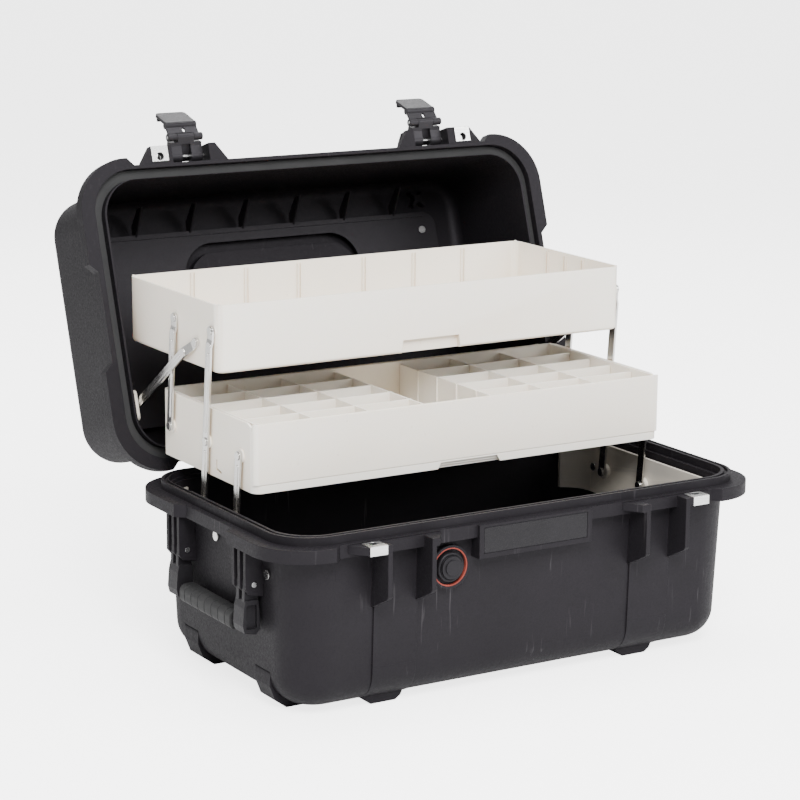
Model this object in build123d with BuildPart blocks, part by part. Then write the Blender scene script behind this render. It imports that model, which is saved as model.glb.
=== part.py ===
from build123d import *
import os
from math import sin, cos, radians

os.makedirs("parts", exist_ok=True)

# ---------------------------------------------------------------- dimensions
# Frame: +X along the length (right), +Y to the back, +Z up, feet on z = 0.
# base
PZ = 161.0            # parting plane, top of the base flange
FLANGE_Z0 = 149.0     # underside of the base flange
FLANGE_X, FLANGE_Y = 254.5, 144.5     # half size of the narrow flange
PAD_X, PAD_Y = 263.0, 152.0           # half size over the four corner pads
BODY_TOP_X, BODY_TOP_Y = 242.0, 135.0   # outer half size under the flange
BODY_LOW_X, BODY_LOW_Y = 236.0, 129.5   # outer half size at the bottom
BASE_Z0 = 6.0         # underside of the body, above the feet
BAND_Z = 40.0         # where the raised front bands meet the feet
WALL = 4.5
OPEN_X, OPEN_Y, OPEN_R = 237.5, 130.5, 36.0   # half size of the opening
LIP_X, LIP_Y, LIP_W, LIP_H = 248.5, 140.0, 8.0, 8.0   # raised tongue
# lid, in the closed position
LID_GAP = 0.5
LZ0 = PZ + LID_GAP    # lid parting face
LID_FLANGE_T = 13.0
LID_TOP = 300.0
LID_TOP_X, LID_TOP_Y = 240.0, 133.0
LID_EDGE_R = 15.0     # rounding of the lid's top edge
# lid hinge
HY, HZ = 158.0, 158.0
LID_OPEN = 108.0      # degrees, the position the part is built in
HINGE_X = 138.0
# cantilever links
LINK_REST = 5.0       # forward lean of the links with the lid open
LINK_SHUT = 46.64     # forward lean with the lid shut
L_LOW, L_UP = 86.33, 105.0
LONG_Y, FRONT_Y, PIVOT_Z = 66.5, 2.5, 128.0   # pivots on the base
REAR_DY = 74.0        # rear link, behind the long link on the middle tray
LINK_W, LINK_T = 9.5, 2.0
LID_LINK_W = 8.6      # lid links are a little narrower
LINK_IN = 225.0       # inner face of the main link plane
TOP_IN = 223.6        # inner face of the joggled upper ends
LID_LINK_IN = 228.5   # inner face of the lid link's main run
PIN_R = 2.45
HOLE_R = 2.55
LIDLINK_TRAY = (80.0, 303.0)     # lid link pivot on the top tray, y and z
LIDLINK_LID = (86.0, 177.15)     # lid link pivot on the lid, closed, y and z
# trays
TRAY_X = 223.0
TRAY_WALL = 2.2
TRAY_H = 63.0
TRAY_D = 186.0        # front to back
TRAY_R = 9.0
TOP_YC, TOP_Z0 = 132.0, 280.0
TOP_BOSS_IN = 217.0   # inner end of the pivot bosses on the top tray
MID_YC, MID_Z0 = 63.0, 183.0
NOTCH_X, NOTCH_HALF = 4.0, 31.0   # finger notch under the front edge of each tray
# latches
LATCH_X = 138.2
FIN_IN, FIN_T = 20.2, 4.5      # inner face offset and thickness of the fins
FIN_Y = 162.0                  # front edge of the fins and padlock tabs
P1 = (-152.5, 177.0)           # arm pin, lid closed
P2 = (-155.5, 158.0)           # lever pin, lid closed and arm shut
NOSE = (-147.9, 145.4)         # centre of the lever's hook roll, all shut
NOSE_R = 3.6
BAR_R = 3.8                    # roll round the lever pin
STRIKE_Y, STRIKE_Z0 = -148.0, 149.4   # front and underside of the strike on the base
ARM_OPEN = -64.0
LEVER_OPEN = -82.0
# end handles
SH_X, SH_Z = 249.5, 116.0      # pivot
RIB_Y = (52.0, 62.75, 73.5)    # inner faces of the three ribs
RIB_T = 4.5

s5, c5 = sin(radians(LINK_REST)), cos(radians(LINK_REST))
LONG_BASE = (LONG_Y, PIVOT_Z)
FRONT_BASE = (FRONT_Y, PIVOT_Z)
LONG_MID = (LONG_Y - L_LOW * s5, PIVOT_Z + L_LOW * c5)
FRONT_MID = (FRONT_Y - L_LOW * s5, PIVOT_Z + L_LOW * c5)
REAR_MID = (LONG_MID[0] + REAR_DY, LONG_MID[1])
LONG_TOP = (LONG_MID[0] - L_UP * s5, LONG_MID[1] + L_UP * c5)
REAR_TOP = (REAR_MID[0] - L_UP * s5, REAR_MID[1] + L_UP * c5)

# the lid and everything on it is described closed and placed open
LID = Location((0, HY, HZ)) * Location((0, 0, 0), (-LID_OPEN, 0, 0)) * Location((0, -HY, -HZ))


def about_x(y, z, angle):
    return Location((0, y, z)) * Location((0, 0, 0), (angle, 0, 0)) * Location((0, -y, -z))


ARM = LID * about_x(P1[0], P1[1], ARM_OPEN)
LEVER = ARM * about_x(P2[0], P2[1], LEVER_OPEN)
HERE = Location((0, 0, 0))


def xy(z, where=HERE):
    return Plane(where * Plane.XY.offset(z).location)


def yz(x, where=HERE):
    return Plane(where * Plane.YZ.offset(x).location)


def xz(y, where=HERE):
    # normal along -Y: sketch x is +X, sketch y is +Z
    return Plane(where * Plane.XZ.offset(-y).location)


def save(builder, name):
    builder.part.label = name
    export_step(builder.part, "parts/" + name + ".step")


def half_at(z, z0, z1, a, b):
    return a + (b - a) * (z - z0) / (z1 - z0)


def flange_outline():
    # rounded plate, wide only at the four corner pads
    RectangleRounded(2 * PAD_X, 2 * PAD_Y, 52)
    for s in (-1, 1):
        with Locations((0, 0)):
            Polygon((-210, s * (PAD_Y + 2)), (-201, s * FLANGE_Y), (201, s * FLANGE_Y), (210, s * (PAD_Y + 2)),
                    align=None, mode=Mode.SUBTRACT)
            Polygon((s * (PAD_X + 2), -54), (s * FLANGE_X, -44), (s * FLANGE_X, 44), (s * (PAD_X + 2), 54),
                    align=None, mode=Mode.SUBTRACT)


def ear(side_x, out, flat, z0, z1, where):
    # padlock tab: plateau beside the fin, then a taper back to the flange
    x0 = side_x - out * 0.5
    with BuildSketch(xy(z0, where)) as sk:
        Polygon((x0, -138), (x0, -FIN_Y), (x0 + out * flat, -FIN_Y), (x0 + out * (flat + 13), -143.5),
                (x0 + out * (flat + 13), -138), align=None)
    extrude(sk.sketch, amount=z1 - z0)


FIN_OUT = FIN_IN + FIN_T
CLIP_W, CLIP_D = 17.6, 15.2
EAR_SIDES = []      # (x of the fin's outer face, direction, plateau) for the four padlock tabs
for sgn, wide in ((-1, 18.8), (1, 22.8)):
    EAR_SIDES.append((sgn * LATCH_X + sgn * FIN_OUT, sgn, wide))
    EAR_SIDES.append((sgn * LATCH_X - sgn * FIN_OUT, -sgn, 3.5))
PADLOCK = [(-(LATCH_X + FIN_OUT + 9.1), -151.5), (LATCH_X + FIN_OUT + 13.1, -151.5)]
RIVETS = [(-88.0, 127.0), (8.0, 139.0), (88.0, 128.0)]     # side brackets, y and z

# ---------------------------------------------------------------- base, solid outer form
with BuildPart() as base_form:
    with BuildSketch(Plane.XY.offset(BASE_Z0)):
        RectangleRounded(2 * BODY_LOW_X, 2 * BODY_LOW_Y, 38)
    with BuildSketch(Plane.XY.offset(FLANGE_Z0 + 2)):
        RectangleRounded(2 * BODY_TOP_X, 2 * BODY_TOP_Y, 42)
    loft()
    fillet(base_form.faces().sort_by(Axis.Z)[0].edges(), 28)
    with BuildSketch(Plane.XY.offset(FLANGE_Z0)):
        flange_outline()
    extrude(amount=PZ - FLANGE_Z0)
    # plate block on the front flange
    with BuildSketch(xz(-148)):
        with Locations((1, 145)):
            Rectangle(122, 31)
    extrude(amount=-16)
    with BuildSketch(xz(-148)):
        with Locations((1, 146)):
            Rectangle(112, 24)
    extrude(amount=-1.2, mode=Mode.SUBTRACT)
    # valve boss
    with BuildSketch(xz(-139.5)):
        with Locations((-85, 124)):
            Circle(20)
    extrude(amount=-9)

# ---------------------------------------------------------------- base shell
with BuildPart() as base_shell:
    add(base_form.part)
    # tongue, with a shallow groove along its top
    with BuildSketch(Plane.XY.offset(PZ)):
        RectangleRounded(2 * LIP_X, 2 * LIP_Y, 42)
        RectangleRounded(2 * (LIP_X - LIP_W), 2 * (LIP_Y - LIP_W), 38, mode=Mode.SUBTRACT)
    extrude(amount=LIP_H)
    with BuildSketch(Plane.XY.offset(PZ + LIP_H - 3)):
        RectangleRounded(2 * (LIP_X - 2.6), 2 * (LIP_Y - 2.6), 40)
        RectangleRounded(2 * (LIP_X - 5.4), 2 * (LIP_Y - 5.4), 38.5, mode=Mode.SUBTRACT)
    extrude(amount=3, mode=Mode.SUBTRACT)
    # relief on the tongue's inner side at the back, which the lid's groove sweeps past
    with BuildSketch(Plane.XY.offset(PZ + 3.2)):
        RectangleRounded(2 * (LIP_X - LIP_W + 1.3), 2 * (LIP_Y - LIP_W + 2.4), 38.5)
        with Locations((0, -70)):
            Rectangle(560, 260, mode=Mode.SUBTRACT)
    extrude(amount=LIP_H, mode=Mode.SUBTRACT)
    # ---- cuts
    with BuildSketch(Plane.XY.offset(BASE_Z0 + WALL)):
        RectangleRounded(2 * (BODY_LOW_X - WALL), 2 * (BODY_LOW_Y - WALL), 33)
    with BuildSketch(Plane.XY.offset(PZ + LIP_H + 1)):
        RectangleRounded(2 * OPEN_X + 0.7, 2 * OPEN_Y + 0.7, OPEN_R)
    cavity = loft(mode=Mode.PRIVATE)
    with BuildPart(mode=Mode.PRIVATE) as cav:
        add(cavity)
        fillet(cav.faces().sort_by(Axis.Z)[0].edges(), 23)
    add(cav.part, mode=Mode.SUBTRACT)
    # valve bore and recess, rivet holes
    with BuildSketch(xz(-142)):
        with Locations((-85, 124)):
            Circle(9)
    extrude(amount=-20, mode=Mode.SUBTRACT)
    with BuildSketch(xz(-140)):
        with Locations((-85, 124)):
            Circle(17.9)
    extrude(amount=-4, mode=Mode.SUBTRACT)
    for sx in (-1, 1):
        with BuildSketch(yz(sx * 238 - 12)):
            with Locations(*RIVETS):
                Circle(2.5)
        extrude(amount=24, mode=Mode.SUBTRACT)
save(base_shell, "base_shell")

# ---------------------------------------------------------------- feet and the bands above them
with BuildPart() as base_feet:
    # lower ends of the raised front bands, and their feet
    for sgn in (-1, 1):
        with BuildSketch(yz(sgn * LATCH_X - 22.5)):
            with BuildLine():
                l1 = Polyline((-132.244, BAND_Z), (-132.1, 36))
                l2 = TangentArc((-132.1, 36), (-104, 5), tangent=l1 % 1)
                Polyline((-104, 5), (-96, 5), (-96, 16), (-120, BAND_Z), (-132.244, BAND_Z))
            make_face()
        extrude(amount=45)
        with BuildSketch(xz(-114.0)):
            Polygon((sgn * LATCH_X - 22.5, 24), (sgn * LATCH_X - 22.5, 8), (sgn * LATCH_X - 13.5, 0),
                    (sgn * LATCH_X + 12, 0), (sgn * LATCH_X + 17.5, 4), (sgn * LATCH_X + 22.5, 14),
                    (sgn * LATCH_X + 22.5, 24), align=None)
        extrude(amount=-36)
        with BuildSketch(xz(98)):
            Polygon((sgn * LATCH_X - 22.5, 30), (sgn * LATCH_X - 22.5, 8), (sgn * LATCH_X - 14.5, 0),
                    (sgn * LATCH_X + 14.5, 0), (sgn * LATCH_X + 22.5, 8),
                    (sgn * LATCH_X + 22.5, 30), align=None)
        extrude(amount=-33)
    # feet at the ends
    for sx in (-1, 1):
        for sy in (-1, 1):
            with BuildSketch(xz(sy * 70 - 14)):
                Polygon((sx * 236.6, 56), (sx * 237.6, 22), (sx * 232, 8), (sx * 221, 0), (sx * 200, 0), (sx * 200, 30), (sx * 225, 56), align=None)
            extrude(amount=-28)
    # low pad under the middle that keeps the long bottom from sagging
    with BuildSketch(xy(0)):
        RectangleRounded(84, 46, 12)
    with BuildSketch(xy(BASE_Z0 + 1)):
        RectangleRounded(94, 56, 17)
    loft()
    add(base_form.part, mode=Mode.SUBTRACT)
save(base_feet, "base_feet")

# ---------------------------------------------------------------- latch guards
with BuildPart() as base_latch_guards:
    # raised bands down the front in line with the latches
    for sgn in (-1, 1):
        with BuildSketch(yz(sgn * LATCH_X - 22.5)):
            Polygon((-136.2, 150), (-132.244, BAND_Z), (-120, BAND_Z), (-126, 150), align=None)
        extrude(amount=45)
    # latch fins and padlock tabs
    for sgn in (-1, 1):
        for k in (-1, 1):
            x0 = sgn * LATCH_X + k * FIN_IN
            with BuildSketch(yz(x0 if k > 0 else x0 - FIN_T)):
                Polygon((-131, PZ - 1), (-FIN_Y, PZ - 1), (-FIN_Y, 113), (-160, 110.6), (-133, 97), (-131, 97), align=None)
            extrude(amount=FIN_T)
        # strike lip between the fins
        with BuildSketch(yz(sgn * LATCH_X - FIN_IN - 0.5)):
            Polygon((STRIKE_Y, STRIKE_Z0), (STRIKE_Y, PZ - 1), (-140, PZ - 1), (-140, STRIKE_Z0), align=None)
        extrude(amount=2 * FIN_IN + 1)
    for x0, out, flat in EAR_SIDES:
        ear(x0, out, flat, PZ - 8, PZ - 1, HERE)
    add(base_form.part, mode=Mode.SUBTRACT)
    add(base_feet.part, mode=Mode.SUBTRACT)
    # padlock holes
    with BuildSketch(Plane.XY.offset(PZ - 12)):
        with Locations(*PADLOCK):
            Circle(4)
    extrude(amount=13, mode=Mode.SUBTRACT)
    for px, py in PADLOCK:
        # seat for the padlock clip
        with BuildSketch(Plane.XY.offset(PZ - 8)):
            with Locations((px, -FIN_Y)):
                Rectangle(CLIP_W + 0.2, 1.8)
        extrude(amount=10, mode=Mode.SUBTRACT)
save(base_latch_guards, "base_latch_guards")

# ---------------------------------------------------------------- end handle ribs
with BuildPart() as base_handle_ribs:
    for sx in (-1, 1):
        for sy in (-1, 1):
            for y0 in RIB_Y:
                yc = sy * (y0 + RIB_T / 2)
                with BuildSketch(xz(yc - RIB_T / 2)):
                    Polygon((sx * 238.5, 151), (sx * 258, 151), (sx * 258, 112), (sx * 254, 107), (sx * 238.5, 104), align=None)
                extrude(amount=-RIB_T)
    add(base_form.part, mode=Mode.SUBTRACT)
    for sx in (-1, 1):
        with BuildSketch(xz(-79)):
            with Locations((sx * SH_X, SH_Z)):
                Circle(2.5)
        extrude(amount=-158, mode=Mode.SUBTRACT)
save(base_handle_ribs, "base_handle_ribs")

# ---------------------------------------------------------------- hinge knuckles at the back
with BuildPart() as base_hinge_knuckles:
    for sgn in (-1, 1):
        for k in (-1, 1):
            xa = sgn * HINGE_X + k * 29.5
            with BuildSketch(yz(xa - 8.5)):
                with Locations((HY, HZ)):
                    Circle(7.5)
                Polygon((133, 132), (138, 134), (HY + 1, HZ - 7.3), (HY, HZ + 1), (133, 160.5), align=None)
            extrude(amount=17)
    add(base_form.part, mode=Mode.SUBTRACT)
    with BuildSketch(yz(-180)):
        with Locations((HY, HZ)):
            Circle(2.6)
    extrude(amount=360, mode=Mode.SUBTRACT)
save(base_hinge_knuckles, "base_hinge_knuckles")

# ---------------------------------------------------------------- front plate
with BuildPart() as front_plate:
    with BuildSketch(xz(-147.8)):
        with Locations((1, 146)):
            RectangleRounded(111.2, 23.2, 1.2)
    extrude(amount=-1.0)
save(front_plate, "front_plate")

# ---------------------------------------------------------------- padlock clips
def clip(x, y_front, z_face, z_back, where):
    # stainless U over the tab: a face plate, a front web and a back plate
    t = 0.8
    zs = 1 if z_back < z_face else -1
    with BuildSketch(xy(min(z_face, z_face + zs * t), where)) as sk:
        with Locations((x, y_front + CLIP_D / 2)):
            Rectangle(CLIP_W, CLIP_D)
    extrude(sk.sketch, amount=t)
    with BuildSketch(xy(min(z_back - zs * t, z_back), where)) as sk:
        with Locations((x, y_front + CLIP_D / 2)):
            Rectangle(CLIP_W, CLIP_D)
    extrude(sk.sketch, amount=t)
    lo, hi = min(z_back - zs * t, z_face + zs * t), max(z_back - zs * t, z_face + zs * t)
    with BuildSketch(xy(lo, where)) as sk:
        with Locations((x, y_front + t / 2)):
            Rectangle(CLIP_W, t)
    extrude(sk.sketch, amount=hi - lo)
    with BuildSketch(xy(lo - 1, where)) as sk:
        with Locations((x, -151.5)):
            Circle(4)
    extrude(sk.sketch, amount=hi - lo + 2, mode=Mode.SUBTRACT)


with BuildPart() as base_padlock_clips:
    for px, py in PADLOCK:
        clip(px, -FIN_Y, PZ - 1, PZ - 8, HERE)
save(base_padlock_clips, "base_padlock_clips")

# ---------------------------------------------------------------- pressure valve
with BuildPart() as valve_ring:
    with BuildSketch(xz(-139.3)):
        with Locations((-85, 124)):
            Circle(17.8)
            Circle(16.6, mode=Mode.SUBTRACT)
    extrude(amount=-3.3)
save(valve_ring, "valve_ring")
with BuildPart() as valve_body:
    with BuildSketch(Plane.XY):
        Circle(13.6)
    extrude(amount=5)
    fillet(valve_body.faces().sort_by(Axis.Z)[-1].edges(), 1.6)
    with BuildSketch(Plane.XY.offset(5)):
        Circle(10.5)
    extrude(amount=2)
    with BuildSketch(Plane.XY.offset(7)):
        Circle(7)
    extrude(amount=1.2)
    with BuildSketch(Plane.XY.offset(4)):
        Circle(11.6)
        Circle(10.9, mode=Mode.SUBTRACT)
    extrude(amount=2, mode=Mode.SUBTRACT)
    with BuildSketch(Plane.XY.offset(-22)):
        Circle(8.9)
    extrude(amount=22.5)
    with BuildSketch(Plane.XY.offset(-23)):
        Circle(4)
    extrude(amount=16, mode=Mode.SUBTRACT)
valve_body.part = valve_body.part.moved(Location((-85, -136.0, 124)) * Location((0, 0, 0), (90, 0, 0)))
save(valve_body, "valve_body")
with BuildPart() as valve_nut:
    with BuildSketch(xz(-128.3)):
        with Locations((-85, 124)):
            RegularPolygon(13.5, 6)
            Circle(8.9, mode=Mode.SUBTRACT)
    extrude(amount=-6)
save(valve_nut, "valve_nut")

# ---------------------------------------------------------------- side brackets and rivets
BR_X, BR_Y, BR_T, BR_Z0, BR_Z1 = 234.5, 127.7, 3.0, 101.0, 155.0
for sx, side in ((-1, "left"), (1, "right")):
    with BuildPart() as side_bracket:
        with BuildSketch(Plane.XY.offset(BR_Z0)):
            RectangleRounded(2 * BR_X, 2 * BR_Y, 34)
            RectangleRounded(2 * (BR_X - BR_T), 2 * (BR_Y - BR_T), 31, mode=Mode.SUBTRACT)
            with Locations((-sx * 23, 0)):
                Rectangle(2 * 236, 270, mode=Mode.SUBTRACT)
        extrude(amount=BR_Z1 - BR_Z0)
        # bosses that carry the two links, and rivet seats
        for y0 in (LONG_Y, FRONT_Y):
            with BuildSketch(yz(sx * (BR_X - BR_T) + (0 if sx < 0 else -4.1))):
                with Locations((y0, PIVOT_Z)):
                    Circle(7.5)
            extrude(amount=4.1)
            with BuildSketch(yz(sx * 230 - 6)):
                with Locations((y0, PIVOT_Z)):
                    Circle(PIN_R)
            extrude(amount=12, mode=Mode.SUBTRACT)
        with BuildSketch(yz(sx * 232 - 6)):
            with Locations(*RIVETS):
                Circle(2.5)
        extrude(amount=12, mode=Mode.SUBTRACT)
    save(side_bracket, "side_bracket_" + side)
    with BuildPart() as bracket_rivets:
        for y0, z0 in RIVETS:
            xin = sx * (BR_X - BR_T)
            xo = sx * (half_at(z0, BASE_Z0, FLANGE_Z0 + 2, BODY_LOW_X, BODY_TOP_X) + 0.35)
            with BuildSketch(yz(min(xin, xo))):
                with Locations((y0, z0)):
                    Circle(2.5)
            extrude(amount=abs(xo - xin))
            with BuildSketch(yz(xo if sx > 0 else xo - 1.8)):
                with Locations((y0, z0)):
                    Circle(4.6)
            extrude(amount=1.8)
            with BuildSketch(yz(xin if sx < 0 else xin - 1.5)):
                with Locations((y0, z0)):
                    Circle(4.2)
            extrude(amount=1.5)
    save(bracket_rivets, "bracket_rivets_" + side)
    with BuildPart() as base_link_rivets:
        for y0 in (LONG_Y, FRONT_Y):
            # shank through the link and boss, domed head inside
            with BuildSketch(yz(sx * 224.8 if sx > 0 else -(BR_X - BR_T))):
                with Locations((y0, PIVOT_Z)):
                    Circle(PIN_R)
            extrude(amount=BR_X - BR_T - 224.8)
            with BuildSketch(yz(sx * 224.8 - (1.3 if sx > 0 else 0))):
                with Locations((y0, PIVOT_Z)):
                    Circle(4.0)
            extrude(amount=1.3)
    save(base_link_rivets, "base_link_rivets_" + side)

# ---------------------------------------------------------------- hinge pins
with BuildPart() as hinge_pins:
    for sgn in (-1, 1):
        with BuildSketch(yz(sgn * HINGE_X - 38.5)):
            with Locations((HY, HZ)):
                Circle(2.5)
        extrude(amount=77)
save(hinge_pins, "hinge_pins")

# ---------------------------------------------------------------- links
def bar(points, w, x_in, t, holes):
    # flat bar in the Y-Z plane with round ends; x_in is its lower x
    with BuildSketch(yz(x_in)) as sk:
        for (ya, za), (yb, zb) in zip(points[:-1], points[1:]):
            SlotCenterPoint_(ya, za, yb, zb, w)
    extrude(sk.sketch, amount=t)


def SlotCenterPoint_(ya, za, yb, zb, w):
    d = Vector(yb - ya, zb - za, 0)
    with Locations(Location(((ya + yb) / 2, (za + zb) / 2, 0), (0, 0, Vector(1, 0, 0).get_signed_angle(d, Vector(0, 0, 1))))):
        SlotCenterToCenter(d.length, w)


def lerp(a, b, t):
    return (a[0] + (b[0] - a[0]) * t, a[1] + (b[1] - a[1]) * t)


def along(a, b, dist):
    d = ((b[0] - a[0]) ** 2 + (b[1] - a[1]) ** 2) ** 0.5
    return lerp(a, b, dist / d)


def slant(a, b, w, xa, xb, t):
    # joggle: a short plate that climbs from x = xa at a to x = xb at b
    d = Vector(0, b[0] - a[0], b[1] - a[1])
    n = Vector(0, -d.Z, d.Y).normalized()
    pts0 = [Vector(xa, a[0], a[1]), Vector(xb, b[0], b[1]), Vector(xb + t, b[0], b[1]), Vector(xa + t, a[0], a[1])]
    o = Vector(0, a[0], a[1]) - n * (w / 2)
    pl = Plane(origin=o, x_dir=Vector(1, 0, 0), z_dir=n)
    loc = [pl.to_local_coords(p) for p in pts0]
    with BuildSketch(pl) as sk:
        Polygon(*[(p.X, p.Y) for p in loc], align=None)
    extrude(sk.sketch, amount=w)


def link_hole(p, x0, x1, r=HOLE_R):
    with BuildSketch(yz(x0)) as sk:
        with Locations(p):
            Circle(r)
    extrude(sk.sketch, amount=x1 - x0, mode=Mode.SUBTRACT)


def bead(a, b, x_face, sx, h=0.7):
    # pressed stiffening bead on the outer face
    with BuildSketch(yz(x_face if sx > 0 else x_face - h)) as sk:
        SlotCenterPoint_(a[0], a[1], b[0], b[1], 3.0)
    extrude(sk.sketch, amount=h)


for sx, side in ((-1, "left"), (1, "right")):
    def xlo(inner):
        return inner if sx > 0 else -inner - LINK_T

    # long link: base, middle tray, top tray
    with BuildPart() as long_link:
        j0, j1 = along(LONG_TOP, LONG_MID, 8), along(LONG_TOP, LONG_MID, 15)
        bar([LONG_BASE, j1], LINK_W, xlo(LINK_IN), LINK_T, None)
        bar([j0, LONG_TOP], LINK_W, xlo(TOP_IN), LINK_T, None)
        slant(j0, j1, LINK_W, xlo(TOP_IN), xlo(LINK_IN), LINK_T)
        bead(along(LONG_MID, LONG_TOP, 10), along(LONG_TOP, LONG_MID, 22), sx * (LINK_IN + LINK_T), sx)
        bead(along(LONG_BASE, LONG_MID, 10), along(LONG_MID, LONG_BASE, 10), sx * (LINK_IN + LINK_T), sx)
        for p in (LONG_BASE, LONG_MID, LONG_TOP):
            link_hole(p, min(sx * 220, sx * 230), max(sx * 220, sx * 230))
    save(long_link, "long_link_" + side)
    with BuildPart() as front_link:
        bar([FRONT_BASE, FRONT_MID], LINK_W, xlo(LINK_IN), LINK_T, None)
        bead(along(FRONT_BASE, FRONT_MID, 10), along(FRONT_MID, FRONT_BASE, 10), sx * (LINK_IN + LINK_T), sx)
        for p in (FRONT_BASE, FRONT_MID):
            link_hole(p, min(sx * 220, sx * 230), max(sx * 220, sx * 230))
    save(front_link, "front_link_" + side)
    with BuildPart() as rear_link:
        j0, j1 = along(REAR_TOP, REAR_MID, 8), along(REAR_TOP, REAR_MID, 15)
        bar([REAR_MID, j1], LINK_W, xlo(LINK_IN), LINK_T, None)
        bar([j0, REAR_TOP], LINK_W, xlo(TOP_IN), LINK_T, None)
        slant(j0, j1, LINK_W, xlo(TOP_IN), xlo(LINK_IN), LINK_T)
        bead(along(REAR_MID, REAR_TOP, 10), along(REAR_TOP, REAR_MID, 22), sx * (LINK_IN + LINK_T), sx)
        for p in (REAR_MID, REAR_TOP):
            link_hole(p, min(sx * 220, sx * 230), max(sx * 220, sx * 230))
    save(rear_link, "rear_link_" + side)
    # lid link: top tray to lid
    lid_end = Vector(0, *LIDLINK_LID)
    q = (LID * Location((0, LIDLINK_LID[0], LIDLINK_LID[1]))).position
    LID_END = (q.Y, q.Z)
    with BuildPart() as lid_link:
        j0, j1 = along(LIDLINK_TRAY, LID_END, 8), along(LIDLINK_TRAY, LID_END, 22)
        bar([j1, LID_END], LID_LINK_W, xlo(LID_LINK_IN), LINK_T, None)
        bar([LIDLINK_TRAY, j0], LID_LINK_W, xlo(TOP_IN), LINK_T, None)
        slant(j0, j1, LID_LINK_W, xlo(TOP_IN), xlo(LID_LINK_IN), LINK_T)
        bead(along(LIDLINK_TRAY, LID_END, 30), along(LID_END, LIDLINK_TRAY, 10), sx * (LID_LINK_IN + LINK_T), sx, 0.5)
        for p in (LIDLINK_TRAY, LID_END):
            link_hole(p, min(sx * 220, sx * 232), max(sx * 220, sx * 232))
    save(lid_link, "lid_link_" + side)
    with BuildPart() as lid_link_rivet:
        with BuildSketch(yz(xlo(LID_LINK_IN))):
            with Locations(LID_END):
                Circle(HOLE_R)
        extrude(amount=LINK_T)
        for xa in ((LID_LINK_IN - 1.2, 1.2), (LID_LINK_IN + LINK_T, 0.5)):
            with BuildSketch(yz(sx * xa[0] if sx > 0 else -xa[0] - xa[1])):
                with Locations(LID_END):
                    Circle(4.0)
            extrude(amount=xa[1])
    save(lid_link_rivet, "lid_link_rivet_" + side)

    # rivets that belong to the trays
    with BuildPart() as mid_rivets:
        for p in (LONG_MID, FRONT_MID, REAR_MID):
            a, b = TRAY_X - TRAY_WALL, LINK_IN + LINK_T + 0.2
            with BuildSketch(yz(a if sx > 0 else -b)):
                with Locations(p):
                    Circle(PIN_R)
            extrude(amount=b - a)
            with BuildSketch(yz(b if sx > 0 else -b - 1.0)):
                with Locations(p):
                    Circle(3.9)
            extrude(amount=1.0)
    save(mid_rivets, "middle_tray_rivets_" + side)
    with BuildPart() as top_rivets:
        for p in (LONG_TOP, REAR_TOP, LIDLINK_TRAY):
            a, b = TOP_BOSS_IN + 1.2, TOP_IN + LINK_T + 0.15
            with BuildSketch(yz(a if sx > 0 else -b)):
                with Locations(p):
                    Circle(PIN_R)
            extrude(amount=b - a)
            with BuildSketch(yz(b if sx > 0 else -b - 1.1)):
                with Locations(p):
                    Circle(3.9)
            extrude(amount=1.1)
    save(top_rivets, "top_tray_rivets_" + side)

# ---------------------------------------------------------------- trays
COLS = (-155.5, -96.5, -37.5, 37.5, 96.5, 155.5)


def tray_box(z0, h, hx, hy, yc, r, wall, floor):
    with BuildSketch(Plane.XY.offset(z0)) as sk:
        with Locations((0, yc)):
            RectangleRounded(2 * hx, 2 * hy, r)
    extrude(sk.sketch, amount=h)
    with BuildSketch(Plane.XY.offset(z0 + floor)) as sk:
        with Locations((0, yc)):
            RectangleRounded(2 * (hx - wall), 2 * (hy - wall), r - wall)
    extrude(sk.sketch, amount=h, mode=Mode.SUBTRACT)


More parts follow.
